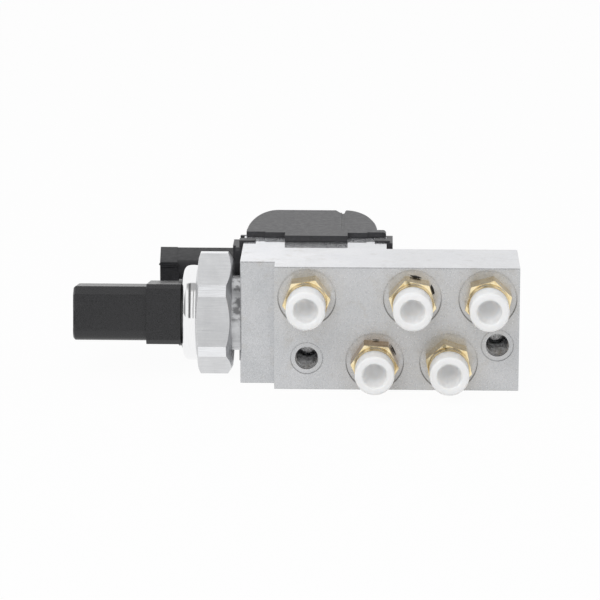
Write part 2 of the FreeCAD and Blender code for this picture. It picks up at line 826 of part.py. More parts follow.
# ---- solenoid valves -------------------------------------------------------------------
def valve_seat(x, z):
    body = rod_y(seat_socket_radius - seat_play, seat_front_y, chamber_floor_y, x, z)
    nose = rod_y(seat_nose_radius, chamber_floor_y, seat_nose_y, x, z)
    way = rod_y(seat_orifice_radius, seat_front_y - OVERCUT, seat_nose_y + OVERCUT, x, z)
    return fuse([body, nose]).cut(way)


def guide_tube(x, z):
    flange = rod_y(tube_flange_radius, flange_front_y, flange_front_y + tube_flange_thickness, x, z)
    wall = rod_y(tube_radius, flange_front_y, tube_back_y, x, z)
    bore = rod_y(tube_inner_radius, flange_front_y - OVERCUT, tube_back_y + OVERCUT, x, z)
    return fuse([flange, wall]).cut(bore)


def tube_o_ring(x, z):
    section = tube_seal_section - seal_play
    return seal_y(chamber_radius - tube_seal_section, section,
                  flange_front_y - tube_seal_section, x, z)


def pole_core(x, z):
    return rod_y(tube_inner_radius - core_play, core_front_y, core_back_y, x, z)


def armature(x, z):
    body = rod_y(armature_radius, armature_front_y, armature_back_y, x, z)
    nose_pocket = armature_seal_length - armature_nose
    return cut(body, [
        rod_y(armature_seal_radius, armature_front_y - OVERCUT, armature_front_y + nose_pocket, x, z),
        rod_y(spring_pocket_radius, armature_back_y - spring_pocket_depth,
              armature_back_y + OVERCUT, x, z),
    ])


def armature_seal(x, z):
    y0 = armature_front_y - armature_nose
    return rod_y(armature_seal_radius - seat_play, y0, y0 + armature_seal_length - seat_play, x, z)


def return_spring(x, z):
    """Closed-up helical spring between the armature's pocket and the pole core."""
    y0 = armature_back_y - spring_pocket_depth + spring_end_gap + spring_wire / 2
    y1 = core_front_y - spring_end_gap - spring_wire / 2
    length = y1 - y0
    path = Part.Wire(Part.makeHelix(length / spring_turns, length, spring_radius).Edges)
    start = V(spring_radius, 0, 0)
    section = Part.Wire(Part.makeCircle(spring_wire / 2, start, ALONG_Y))
    coil = path.makePipeShell([section], True, True)
    coil.rotate(V(0, 0, 0), ALONG_X, -90)
    coil.translate(V(x, y0, z))
    return coil


# ---- coils, yoke and contacts ----------------------------------------------------------
def coil_bobbin(x, z):
    bore = tube_radius + bobbin_play
    core = rod_y(bore + bobbin_wall, bobbin_front_y, bobbin_back_y, x, z)
    front = rod_y(coil_radius, bobbin_front_y, bobbin_front_y + bobbin_flange, x, z)
    back = rod_y(coil_radius, bobbin_back_y - bobbin_flange, bobbin_back_y, x, z)
    hole = rod_y(bore, bobbin_front_y - OVERCUT, bobbin_back_y + OVERCUT, x, z)
    return cut(fuse([core, front, back]), [hole] + terminal_pair(x, z, seal_play))


def coil_winding(x, z):
    y0 = bobbin_front_y + bobbin_flange + winding_play
    y1 = bobbin_back_y - bobbin_flange - winding_play
    ring = rod_y(coil_radius - winding_recess, y0, y1, x, z)
    inner = tube_radius + bobbin_play + bobbin_wall + winding_play
    return ring.cut(rod_y(inner, y0 - OVERCUT, y1 + OVERCUT, x, z))


def terminal_pair(x, z, margin=0.0):
    """The two contact posts of one coil, or the holes for them when a margin is given."""
    half = terminal_size / 2 + margin
    y0 = bobbin_back_y - bobbin_flange + winding_play - margin
    y1 = carrier_y + carrier_thickness + margin
    posts = []
    for side in (-1, 1):
        px = x + side * terminal_spacing / 2
        pz = z + terminal_offset
        posts.append(box(px - half, px + half, y0, y1, pz - half, pz + half))
    return posts


def coil_terminals():
    posts = []
    for x, z in valve_places:
        posts += terminal_pair(x, z)
    return group(posts)


def yoke_frame():
    """Two steel plates, before and behind the coils, on one post between the four coils."""
    x0 = valve_x - coil_radius + yoke_margin
    x1 = valve_x + valve_pitch_x + coil_radius - yoke_margin
    z0 = valve_z - coil_radius + yoke_margin
    z1 = valve_z + valve_pitch_z + coil_radius - yoke_margin
    front = box(x0, x1, yoke_front_y, yoke_front_y + yoke_thickness, z0, z1)
    back = box(x0, x1, yoke_back_y, yoke_back_y + yoke_thickness, z0, z1)
    post = rod_y(yoke_post_radius, yoke_front_y, yoke_back_y, valve_middle_x, valve_middle_z)
    tools = []
    for x, z in valve_places:
        tools.append(rod_y(tube_radius + bobbin_play, yoke_front_y - OVERCUT,
                           yoke_front_y + yoke_thickness + OVERCUT, x, z))
        tools.append(rod_y(tube_inner_radius, yoke_back_y - OVERCUT,
                           yoke_back_y + yoke_thickness + OVERCUT, x, z))
        tools += terminal_pair(x, z, bobbin_play)
    return cut(fuse([front, back, post]), tools)


def contact_carrier():
    """Plastic plate behind the yoke that the coil posts and the connector pins meet in."""
    x0 = valve_x - coil_radius
    x1 = valve_x + valve_pitch_x + coil_radius - yoke_margin - cover_wall / 2
    z0 = valve_z - coil_radius + yoke_margin
    z1 = valve_z + valve_pitch_z + coil_radius - yoke_margin
    plate = box(x0, x1, carrier_y, carrier_y + carrier_thickness, z0, z1)
    tools = []
    for x, z in valve_places:
        tools += terminal_pair(x, z, seal_play)
    return cut(plate, tools)


# ---- cover -----------------------------------------------------------------------------
def cover_profile(inset, front_y):
    """Plan of the cover: straight at the front, with two long rounded rear corners."""
    left_x = cover_x0 + cover_left_sweep
    right_x = cover_x1 - cover_right_sweep
    rear = cover_back_y - inset
    bend_y = flange_y1
    left = Part.Ellipse(V(left_x, rear, 0), V(cover_x0 + inset, bend_y, 0), V(left_x, bend_y, 0))
    right = Part.Ellipse(V(right_x, rear, 0), V(cover_x1 - inset, bend_y, 0), V(right_x, bend_y, 0))
    left_edge = Part.ArcOfEllipse(left, 0, math.pi / 2).toShape()
    right_edge = Part.ArcOfEllipse(right, 0, math.pi / 2).toShape()
    a = V(cover_x0 + inset, bend_y, 0)
    b = V(cover_x0 + inset, front_y, 0)
    c = V(cover_x1 - inset, front_y, 0)
    d = V(cover_x1 - inset, bend_y, 0)
    lines = [Part.makeLine(a, b), Part.makeLine(b, c), Part.makeLine(c, d),
             Part.makeLine(V(left_x, rear, 0), V(right_x, rear, 0))]
    edges = Part.__sortEdges__([left_edge, right_edge] + lines)
    return Part.Face(Part.Wire(edges))


def cover_body():
    """The cover's shell behind the flange, with the notch and groove between its two lobes."""
    plan = cover_profile(0, flange_y0)
    plan.translate(V(0, 0, cover_z0))
    shell = plan.extrude(V(0, 0, cover_z1 - cover_z0))
    top_edges = [e for e in shell.Edges if e.BoundBox.ZMin > cover_z1 - 1e-6
                 and e.BoundBox.YMax > flange_y0 + 1e-6]
    shell = shell.makeChamfer(cover_edge, top_edges)
    notch = polygon_face([
        V(notch_x - notch_width / 2, cover_back_y, cover_z0 - OVERCUT),
        V(notch_floor_x - notch_floor_width / 2, cover_back_y - notch_depth, cover_z0 - OVERCUT),
        V(notch_floor_x + notch_floor_width / 2, cover_back_y - notch_depth, cover_z0 - OVERCUT),
        V(notch_x + notch_width / 2, cover_back_y, cover_z0 - OVERCUT),
        V(notch_x + notch_width / 2, cover_back_y + OVERCUT, cover_z0 - OVERCUT),
        V(notch_x - notch_width / 2, cover_back_y + OVERCUT, cover_z0 - OVERCUT),
    ]).extrude(V(0, 0, cover_z1 - cover_z0 + 2 * OVERCUT))
    groove = box(groove_x - groove_width / 2, groove_x + groove_width / 2,
                 flange_y0 + groove_start, cover_back_y, cover_z1 - groove_depth, cover_z1 + OVERCUT)
    hollow = cover_profile(cover_wall, flange_y0 - OVERCUT)
    hollow.translate(V(0, 0, cover_z0 + cover_wall))
    hollow = hollow.extrude(V(0, 0, cover_z1 - cover_z0 - 2 * cover_wall))
    behind_notch = box(notch_x - notch_width / 2 - cover_wall, notch_x + notch_width / 2 + cover_wall,
                       cover_back_y - notch_depth - cover_wall, cover_back_y + OVERCUT,
                       cover_z0, cover_z1)
    return cut(shell, [notch, groove, hollow.cut(behind_notch)])


def gasket_opening():
    """Inner edges of the gasket and of the flange: left, right, bottom, top."""
    reach = gasket_margin + gasket_width
    return reach, cover_x1 - gasket_width / 2, cover_z0 + reach / 2, block_height - reach / 2


def cover_gasket():
    x0, x1, z0, z1 = gasket_opening()
    y0 = boss_depth + seal_play
    y1 = flange_y0 - seal_play
    sheet = box(gasket_margin, boss_width - gasket_margin, y0, y1,
                cover_z0 + seal_play, block_height - gasket_margin)
    return sheet.cut(box(x0, x1, y0 - OVERCUT, y1 + OVERCUT, z0, z1))


def cover_flange():
    """Flange on the gasket, its lips over the block's top face and the tongue between them."""
    x0, x1, z0, z1 = gasket_opening()
    frame = box(cover_x0, boss_width - clip_play, flange_y0, flange_y1, cover_z0, cover_z1)
    frame = frame.cut(box(x0, x1, flange_y0 - OVERCUT, flange_y1 + OVERCUT, z0, z1))
    underside = block_height + lip_play
    end_y = boss_depth - lip_end_reach
    lip_y = boss_depth - lip_reach
    tongue_y = boss_depth - tongue_reach
    right_x = boss_width - clip_play
    return [
        frame,
        box(cover_x0, right_x, end_y, flange_y1, underside, cover_z1),
        box(cover_x0 + lip_end_width, right_x - lip_end_width, lip_y, flange_y1, underside, cover_z1),
        box(tongue_left, tongue_left + tongue_width, tongue_y, flange_y1, underside,
            cover_z1 + tongue_rise),
    ]


def clip_bar(x0, x1, front):
    """Thin bar of a side clip that lies on the block's top face."""
    y0 = boss_depth - front
    z0 = block_height + lip_play
    return box(x0, x1, y0, y0 + clip_bar_depth, z0, z0 + clip_bar_height)


def clip_nib_solid(x0, x1, front):
    """Nib of a side clip, in its groove in the side of the boss."""
    y0 = boss_depth - front + clip_nib_depth
    half = clip_nib_height / 2
    return box(x0, x1, y0, y0 + clip_nib_depth, valve_middle_z - half, valve_middle_z + half)


def left_clip():
    """Side clip between the sensor and the connector, with its ear and its hook."""
    x1 = -clip_play
    x0 = x1 - left_clip_thickness
    y0 = boss_depth - left_clip_front
    top = block_height - left_clip_drop
    foot = box(x1 - left_foot_thickness, x1, y0, flange_y1, cover_z0, top)
    head = box(x0, x1, y0, flange_y1, top - left_head_height, top)
    ear = box(x0 - left_ear_width, x0 + OVERCUT, y0 + left_ear_setback, flange_y1,
              top - left_ear_height, top)
    front_top = [e for e in head.Edges if e.BoundBox.YMax < y0 + 1e-6
                 and e.BoundBox.ZMin > top - 1e-6 and e.BoundBox.XLength > 1e-6]
    head = head.makeChamfer(left_ear_width, front_top)
    bridge = box(x1 - OVERCUT, cover_x0 + OVERCUT, flange_y0, flange_y1, cover_z0, top)
    hook = box(x1 - left_hook_width / 2, cover_x0 + left_hook_width / 4, flange_y0, flange_y1,
               top - OVERCUT, block_height - left_hook_drop)
    riser_x = x1 - left_foot_thickness
    riser_y = y0 + left_ear_width
    bar_top = block_height + lip_play + clip_bar_height
    riser = box(riser_x, x1, riser_y, y0 + left_ear_width + clip_bar_depth, top - OVERCUT, bar_top)
    return [fuse([foot, head, ear]), bridge, hook, riser,
            clip_nib_solid(x1 - OVERCUT, clip_nib - clip_play, left_clip_front),
            clip_bar(riser_x, clip_bar_length, left_clip_front - left_ear_width)]


def right_clip():
    x0 = boss_width + clip_play
    x1 = x0 + right_clip_thickness
    y0 = boss_depth - right_clip_front
    top = block_height - right_clip_drop
    bridge_z = block_height + lip_play
    return [
        box(x0, x1, y0, flange_y1, cover_z0, top),
        box(boss_width - clip_play - OVERCUT, x1, flange_y0, flange_y1, cover_z0, top),
        box(x0, x0 + right_clip_thickness / 2, y0, y0 + clip_bar_depth, top - OVERCUT,
            bridge_z + clip_bar_height),
        clip_nib_solid(boss_width - clip_nib + clip_play, x0 + OVERCUT, right_clip_front),
        clip_bar(boss_width - clip_bar_length, x0 + right_clip_thickness / 2, right_clip_front),
    ]


def connector_bar(x0, x1, inset):
    """The connector's outer shape behind its hood, or a window for it when the inset is less."""
    return rounded_bar_x(x0, x1, connector_y0 + inset, connector_y0 + connector_width - inset,
                         connector_z0 + inset, connector_top - inset, body_corner, hood_corner)


def connector_window():
    """Opening in the cover's left wall that the connector housing passes through."""
    return connector_bar(-OVERCUT, connector_inner_reach + OVERCUT, hood_step - window_play)


def solenoid_cover():
    whole = fuse([cover_body()] + cover_flange() + left_clip() + right_clip())
    edge_x = boss_width - clip_play - lip_end_round
    edge_z = cover_z1 - lip_end_round
    y0 = boss_depth - lip_end_reach - OVERCUT
    y1 = flange_y1 + OVERCUT
    corner = box(edge_x, edge_x + lip_end_round + OVERCUT, y0, y1, edge_z, cover_z1 + OVERCUT)
    corner = corner.cut(rod_y(lip_end_round, y0 - OVERCUT, y1 + OVERCUT, edge_x, edge_z))
    return cut(whole, [connector_window(), corner])


# ---- connector -------------------------------------------------------------------------
def connector_housing():
    x_mouth = -connector_reach
    x_seam = x_mouth + hood_length
    y1 = connector_y0 + connector_width
    hood = rounded_bar_x(x_mouth, x_seam, connector_y0, y1, connector_z0, connector_top,
                         hood_near_corner, hood_corner, mouth_lean)
    body = connector_bar(x_seam - hood_length / 2, connector_inner_reach, hood_step)
    latch_x = x_mouth + latch_setback
    latch_z = connector_top - latch_drop
    latch = polygon_face([
        V(latch_x, connector_y0 + OVERCUT, latch_z),
        V(latch_x, connector_y0, latch_z),
        V(latch_x, connector_y0 - latch_stand, latch_z - latch_height),
        V(latch_x, connector_y0 + OVERCUT, latch_z - latch_height),
    ]).extrude(V(latch_length, 0, 0))
    ridge = box(x_mouth - hood_ridge_stand, x_seam, connector_y0 - hood_ridge_stand, connector_y0 + OVERCUT,
                connector_top - hood_ridge_drop - hood_ridge_width, connector_top - hood_ridge_drop)
    shell = fuse([hood, body, latch, ridge])
    mouth = rounded_bar_x(x_mouth - mouth_lean - OVERCUT, x_mouth + connector_mouth_depth,
                          connector_y0 + connector_wall, y1 - connector_wall,
                          connector_z0 + connector_wall, connector_top - connector_wall,
                          hood_corner, hood_corner)
    slots = []
    for row, k in pin_numbers():
        y, z = pin_place(row, k)
        half = pin_size / 2 + seal_play
        slots.append(box(pin_start_x(), connector_inner_reach + OVERCUT, y - half, y + half,
                         z - half, z + half))
    groove = box(x_mouth - OVERCUT, x_seam, connector_y0 - OVERCUT, connector_y0 + hood_groove_depth,
                 connector_top - hood_groove_drop - hood_groove_width, connector_top - hood_groove_drop)
    return cut(shell, [mouth, groove] + slots)


def pin_numbers():
    return [(row, k) for row in range(pin_rows) for k in range(pins_per_row)]


def pin_start_x():
    return connector_mouth_depth - connector_reach - pin_reach


def pin_place(row, k):
    """Place of one pin in the connector; the second row sits half a step higher."""
    y = connector_y0 + connector_width / 2 + (row - 0.5) * pin_row_spacing
    middle_z = (connector_top + connector_z0) / 2
    z = middle_z + (k - (pins_per_row - 1) / 2) * pin_pitch + (row - 0.5) * pin_pitch / 2
    return y, z


def connector_pin(row, k):
    """A square pin, bent inside the cover to reach the contact carrier."""
    y, z = pin_place(row, k)
    half = pin_size / 2
    end_y = carrier_y + carrier_thickness / 2
    return fuse([
        box(pin_start_x(), pin_run_x + half, y - half, y + half, z - half, z + half),
        box(pin_run_x - half, pin_run_x + half, y - half, end_y + half, z - half, z + half),
        box(pin_run_x - half, valve_x - coil_radius - seal_play, end_y - half, end_y + half,
            z - half, z + half),
    ])


# ---- write every piece -----------------------------------------------------------------
def save(node, shape):
    placed = shape.copy()
    placed.translate(V(-fixing_left_x, 0, -fixing_left_z))
    placed.exportStep("parts/" + node + ".step")


def write_parts():
    os.makedirs("parts", exist_ok=True)
    save("valve_block", valve_block())
    save("channel_balls", channel_balls())
    for number, (x, z) in enumerate(port_places, start=1):
        save("port_fitting_%d" % number, port_fitting(x, z, fitting_turn[number - 1]))
        save("transit_plug_%d" % number, transit_plug(x, z))
    save("port_collets", group([port_collet(x, z) for x, z in port_places]))
    save("port_o_rings", group([port_o_ring(x, z) for x, z in port_places]))
    save("tube_seals", group([tube_seal(x, z) for x, z in port_places]))
    save("sensor_hex_body", sensor_hex_body())
    save("sensor_crimp_collar", sensor_crimp_collar())
    save("sensor_seal_ring", sensor_seal_ring())
    save("sensor_connector_shell", sensor_connector_shell())
    save("sensor_pins", group([sensor_pin(k) for k in range(3)]))
    save("sensor_o_ring", sensor_o_ring())
    save("sensor_pressure_cell", sensor_pressure_cell())
    save("sensor_circuit_board", sensor_circuit_board())
    for number, (x, z) in enumerate(valve_places, start=1):
        save("guide_tube_%d" % number, guide_tube(x, z))
        save("pole_core_%d" % number, pole_core(x, z))
        save("armature_%d" % number, armature(x, z))
        save("armature_seal_%d" % number, armature_seal(x, z))
        save("return_spring_%d" % number, return_spring(x, z))
        save("coil_bobbin_%d" % number, coil_bobbin(x, z))
        save("coil_winding_%d" % number, coil_winding(x, z))
    save("valve_seats", group([valve_seat(x, z) for x, z in valve_places]))
    save("tube_o_rings", group([tube_o_ring(x, z) for x, z in valve_places]))
    save("yoke_frame", yoke_frame())
    save("coil_terminals", coil_terminals())
    save("contact_carrier", contact_carrier())
    save("cover_gasket", cover_gasket())
    save("solenoid_cover", solenoid_cover())
    save("connector_housing", connector_housing())
    save("connector_pins", group([connector_pin(row, k) for row, k in pin_numbers()]))


write_parts()
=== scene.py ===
"""Looks of the solenoid valve block: rounded edges, threads, dark beads and surface finishes."""
import json
import math
import random

import bmesh
import bpy
from mathutils import Matrix, Vector


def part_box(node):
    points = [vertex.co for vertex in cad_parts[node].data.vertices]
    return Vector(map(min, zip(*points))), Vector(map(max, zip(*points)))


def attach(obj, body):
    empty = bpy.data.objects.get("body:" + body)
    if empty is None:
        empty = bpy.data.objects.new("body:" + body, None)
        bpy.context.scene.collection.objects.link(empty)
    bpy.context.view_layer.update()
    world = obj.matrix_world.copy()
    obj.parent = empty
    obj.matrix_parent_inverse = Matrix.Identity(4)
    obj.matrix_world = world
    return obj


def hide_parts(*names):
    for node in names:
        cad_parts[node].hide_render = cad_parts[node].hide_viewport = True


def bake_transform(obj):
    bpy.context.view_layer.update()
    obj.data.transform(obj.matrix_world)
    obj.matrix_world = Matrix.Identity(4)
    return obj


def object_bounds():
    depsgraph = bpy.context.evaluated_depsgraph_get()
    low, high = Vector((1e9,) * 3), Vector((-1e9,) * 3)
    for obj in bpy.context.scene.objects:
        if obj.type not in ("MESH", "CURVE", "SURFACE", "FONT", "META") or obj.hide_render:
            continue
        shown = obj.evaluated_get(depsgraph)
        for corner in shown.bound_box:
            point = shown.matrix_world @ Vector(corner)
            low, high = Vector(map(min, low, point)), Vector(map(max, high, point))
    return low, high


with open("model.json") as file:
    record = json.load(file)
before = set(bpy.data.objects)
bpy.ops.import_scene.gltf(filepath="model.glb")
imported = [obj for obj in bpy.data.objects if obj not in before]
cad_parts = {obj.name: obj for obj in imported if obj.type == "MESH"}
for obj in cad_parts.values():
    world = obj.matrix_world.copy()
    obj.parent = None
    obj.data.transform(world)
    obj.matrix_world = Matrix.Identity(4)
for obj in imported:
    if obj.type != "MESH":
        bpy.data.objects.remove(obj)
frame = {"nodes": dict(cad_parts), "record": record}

CAD_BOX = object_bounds()
MM = 0.001
RECORD = frame["record"]
SLOT_OF = {row["node"]: row["material_slot"] for row in RECORD["subparts"]}
BODY_OF = {n: b for b, members in RECORD["behaviour"]["bodies"].items() for n in members}
PORTS = range(1, 6)
VALVES = range(1, 5)
scene = bpy.context.scene

# Sizes in mm of the shapes that the looks follow; y counts from the ported face
SPOTFACE_RADIUS = 8.2           # machined face round each port
HOLE_RING_RADIUS = 4.62         # turned ring round each fixing hole
FACE_END_Y = (0.8, 1.2)         # where marks of the ported face fade out
FLATS_Y = (-6.2, -5.7)          # front end of a port hexagon's flats
COLLAR_Y = (-6.75, -6.6)        # rear end of a port fitting's collar
HEXAGON_INRADIUS = (5.9, 6.0)
PLUG_HOLLOW_RADIUS = (2.3, 2.6)
SENSOR_LAND_RADIUS = (17.78, 17.82)     # turned corners of the sensor's hexagon
SENSOR_NECK_RADIUS = (11.0, 11.3)
THREAD_PITCH = 1.25
THREAD_HEIGHT = 0.34
ROUND_STEPS = 40                # points round a hole
BEAD_STEPS = 10                 # points round a bead


# ---- places read from the frame --------------------------------------------------------
def middle(node):
    low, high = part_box(node)
    return (low + high) / 2


PORT_AXES = [middle("transit_plug_%d" % k) for k in PORTS]
FIXING_MOUNTS = [m for m in RECORD["mounts"] if m["name"].startswith("fixing_")]
FIXINGS = [Vector(m["pos_m"]) for m in FIXING_MOUNTS]
HOLE_RADIUS = FIXING_MOUNTS[0]["dims"]["r_mm"]
SENSOR_AXIS = middle("sensor_crimp_collar")


# ---- materials -------------------------------------------------------------------------
RANGE_SOCKETS = ("From Min", "From Max", "To Min", "To Max")


class Surface:
    """A Principled material whose textures are measured in millimetres of the object."""

    def __init__(self, name, **sockets):
        self.material = bpy.data.materials.new(name)
        self.material.use_nodes = True
        self.tree = self.material.node_tree
        self.tree.nodes.clear()
        self.shader = self.tree.nodes.new("ShaderNodeBsdfPrincipled")
        output = self.tree.nodes.new("ShaderNodeOutputMaterial")
        self.tree.links.new(self.shader.outputs["BSDF"], output.inputs["Surface"])
        for socket, value in sockets.items():
            self.shader.inputs[socket.replace("_", " ")].default_value = value
        self.coords = self.tree.nodes.new("ShaderNodeTexCoord")
        self.place = self.vector("MULTIPLY", self.coords.outputs["Object"], (1000, 1000, 1000))

    def put(self, socket, value):
        """Links a socket to another one, or sets it to a number or colour."""
        if isinstance(value, bpy.types.NodeSocket):
            self.tree.links.new(value, socket)
        else:
            socket.default_value = value

    def math(self, operation, a, b=0.0):
        node = self.tree.nodes.new("ShaderNodeMath")
        node.operation = operation
        self.put(node.inputs[0], a)
        self.put(node.inputs[1], b)
        return node.outputs[0]

    def vector(self, operation, a, b=(0, 0, 0)):
        node = self.tree.nodes.new("ShaderNodeVectorMath")
        node.operation = operation
        self.put(node.inputs[0], a)
        self.put(node.inputs[1], b)
        return node.outputs["Value"] if operation in ("LENGTH", "DOT_PRODUCT") else node.outputs[0]

    def along(self, axis):
        """Place in mm along X, Y or Z."""
        return self.vector("DOT_PRODUCT", self.place, tuple(float(axis == a) for a in "XYZ"))

    def noise(self, scale, stretch=(1, 1, 1), detail=3.0, rough=0.55, offset=0.0):
        node = self.tree.nodes.new("ShaderNodeTexNoise")
        where = self.vector("MULTIPLY", self.place, tuple(scale * s for s in stretch))
        self.put(node.inputs["Vector"], self.vector("ADD", where, (offset, offset, offset)))
        node.inputs["Scale"].default_value = 1.0
        node.inputs["Detail"].default_value = detail
        node.inputs["Roughness"].default_value = rough
        return node.outputs[0]

    def spread(self, value, low, high, to_low=0.0, to_high=1.0):
        """Maps a span of a value to another span, held at both ends."""
        node = self.tree.nodes.new("ShaderNodeMapRange")
        for socket, number in zip(RANGE_SOCKETS, (low, high, to_low, to_high)):
            node.inputs[socket].default_value = number
        self.put(node.inputs["Value"], value)
        return node.outputs[0]

    def mix(self, factor, a, b):
        """Goes from one colour to another by a factor."""
        node = self.tree.nodes.new("ShaderNodeMix")
        node.data_type = "RGBA"
        self.put(node.inputs[0], factor)
        for socket, value in ((node.inputs[6], a), (node.inputs[7], b)):
            is_socket = isinstance(value, bpy.types.NodeSocket)
            self.put(socket, value if is_socket else (*value, 1.0))
        return node.outputs[2]

    def from_axis(self, point, axis):
        """Distance in mm from a line through a point along X or Y."""
        keep = (0, 1, 1) if axis == "X" else (1, 0, 1)
        away = self.vector("SUBTRACT", self.place, tuple(c / MM for c in point))
        return self.vector("LENGTH", self.vector("MULTIPLY", away, keep))

    def from_ports(self):
        """Distance in mm from the nearest port axis."""
        best, *others = [self.from_axis(port, "Y") for port in PORT_AXES]
        for distance in others:
            best = self.math("MINIMUM", best, distance)
        return best

    def line(self, value, at, width):
        """1 on a thin line where a value equals a number, falling to 0 beside it."""
        off = self.math("ABSOLUTE", self.math("SUBTRACT", value, at))
        return self.spread(off, width / 2, width, 1.0, 0.0)

    def painted_shade_rings(self, places, radius, width, strength):
        """A painted shade line round each place along Y, strong on its lower side and faint above."""
        total = 0.0
        height = self.along("Z")
        for place in places:
            ring = self.line(self.from_axis(place, "Y"), radius, width)
            level = place.z / MM
            share = self.spread(height, level - 3.0, level + 3.0, strength, 0.16 * strength)
            total = self.math("MAXIMUM", self.math("MULTIPLY", ring, share), total)
        return total

    def bump(self, height, depth_mm):
        """A normal for relief of some depth."""
        node = self.tree.nodes.new("ShaderNodeBump")
        node.inputs["Distance"].default_value = depth_mm * MM
        self.put(node.inputs["Height"], height)
        return node.outputs[0]

    def finish(self, color, roughness, normal):
        """Feeds the shader and gives the finished material."""
        for socket, value in (("Base Color", color), ("Roughness", roughness), ("Normal", normal)):
            self.put(self.shader.inputs[socket], value)
        return self.material


def aluminium(name, low, high, rough_low, rough_high, grain_mm, grain_share=0.30, polished=False):
    """Milled aluminium: cloudy tone, fine grain, turned rings in the port faces, a warm tint round them
    that is part grime and part painted reflection of the brass, and painted shade along the rims.

    The rings belong to the ported face alone, so they fade out just behind it. A polished face is
    a fine mix of mirror-smooth land and matt tool marks.
    """
    s = Surface(name, Metallic=1.0 if polished else 0.5)
    clouds = s.spread(s.noise(0.11, detail=4.0), 0.32, 0.68)
    color = s.mix(clouds, low, high)
    grain = s.noise(1.9, detail=4.0, rough=0.7)
    color = s.mix(s.spread(grain, 0.36, 0.64, 0.0, grain_share), color, (0.36, 0.37, 0.38))
    port = s.from_ports()
    patch = s.spread(s.noise(0.45, detail=3.0, offset=7.0), 0.36, 0.64)
    # Warm tint round the ports: part grime, part painted reflection of the brass fittings.
    grime_and_brass_reflection = s.math("MULTIPLY", s.spread(port, 6.0, 12.5, 0.17, 0.0), patch)
    color = s.mix(grime_and_brass_reflection, color, (0.42, 0.36, 0.26))
    stain = s.spread(s.noise(0.28, detail=4.0, offset=21.0), 0.56, 0.72, 0.0, 0.30)
    color = s.mix(stain, color, (0.46, 0.43, 0.38))
    # Painted shade: dark lines round the port spotfaces and fixing rings, strong on their lower sides.
    painted_rim_shade = s.math("MAXIMUM", s.painted_shade_rings(PORT_AXES, SPOTFACE_RADIUS + 0.07, 0.20, 0.75),
                 s.painted_shade_rings(FIXINGS, HOLE_RING_RADIUS, 0.20, 0.36))
    front = s.spread(s.along("Y"), *FACE_END_Y, 1.0, 0.0)
    color = s.mix(s.math("MULTIPLY", painted_rim_shade, front), color, (0.10, 0.10, 0.10))
    if polished:
        # The polished top is mixed up to halfway towards a darker grey from X -12 mm to X 30 mm.
        across = s.spread(s.along("X"), -12.0, 30.0)
        color = s.mix(s.math("MULTIPLY", across, 0.5), color, (0.55, 0.555, 0.57))
        marks = s.noise(6.5, stretch=(0.7, 1.4, 1), detail=2.0, offset=3.0)
        roughness = s.spread(marks, 0.53, 0.54, rough_low, rough_high)
    else:
        marks = s.spread(s.noise(0.9, stretch=(1, 0.2, 1), detail=5.0, offset=3.0), 0.30, 0.70)
        roughness = s.spread(marks, 0.0, 1.0, rough_low, rough_high)
    rings = s.math("SINE", s.math("MULTIPLY", port, 19.0))
    inside = s.math("MULTIPLY", s.math("LESS_THAN", port, SPOTFACE_RADIUS), front)
    height = s.math("ADD", grain, s.math("MULTIPLY", s.math("MULTIPLY", rings, inside), 0.16))
    return s.finish(color, roughness, s.bump(height, grain_mm))


def brass(name, color_low, color_high):
    """Machined brass with turned lines, tarnish in patches and handling marks."""
    s = Surface(name, Metallic=1.0)
    radius = s.from_ports()
    tarnish = s.spread(s.noise(0.55, detail=4.0), 0.42, 0.78)
    color = s.mix(tarnish, color_high, color_low)
    depth = s.along("Y")
    # The rear of each hexagon's flats is mixed towards dark brown: strongly round fitting 4, faintly at
    # the others.
    flats = s.math("MULTIPLY", s.spread(depth, *FLATS_Y), s.spread(radius, *HEXAGON_INRADIUS))
    brown = s.spread(s.from_axis(PORT_AXES[3], "Y"), 8.5, 9.5, 0.85, 0.25)
    color = s.mix(s.math("MULTIPLY", flats, brown), color, (0.36, 0.20, 0.05))
    collar = s.spread(depth, *COLLAR_Y, 1.0, 0.0)
    color = s.mix(s.math("MULTIPLY", collar, 0.42), color, (0.46, 0.35, 0.20))
    lines = s.noise(5.0, stretch=(0.3, 1.6, 0.3), detail=3.0, rough=0.6)
    color = s.mix(s.spread(lines, 0.45, 0.75, 0.0, 0.14), color, (0.46, 0.34, 0.17))
    turned = s.math("SINE", s.math("MULTIPLY", radius, 38.0))
    height = s.math("ADD", lines, s.math("MULTIPLY", turned, 0.10))
    return s.finish(color, s.spread(tarnish, 0, 1, 0.14, 0.28), s.bump(height, 0.008))


def white_plastic(name):
    """White polyamide: moulding grain, a little light let through, and painted light that makes the
    inside of each cap lighter and warmer.
    """
    s = Surface(name, Subsurface_Weight=0.8, Subsurface_Radius=(1.0, 0.93, 0.86),
                Subsurface_Scale=0.006, IOR=1.50)
    shade = s.spread(s.noise(0.35, detail=3.0), 0.35, 0.65)
    color = s.mix(shade, (0.955, 0.955, 0.95), (0.975, 0.975, 0.975))
    # Painted light: the inside of each cap is made lighter and warmer.
    cap_inside_painted_light = s.spread(s.from_ports(), *PLUG_HOLLOW_RADIUS, 0.9, 0.0)
    color = s.mix(cap_inside_painted_light, color, (0.985, 0.95, 0.915))
    grain = s.noise(3.2, detail=3.0, rough=0.6)
    color = s.mix(s.spread(grain, 0.40, 0.70, 0.0, 0.08), color, (0.88, 0.88, 0.87))
    return s.finish(color, s.spread(grain, 0.3, 0.7, 0.34, 0.52), s.bump(grain, 0.012))


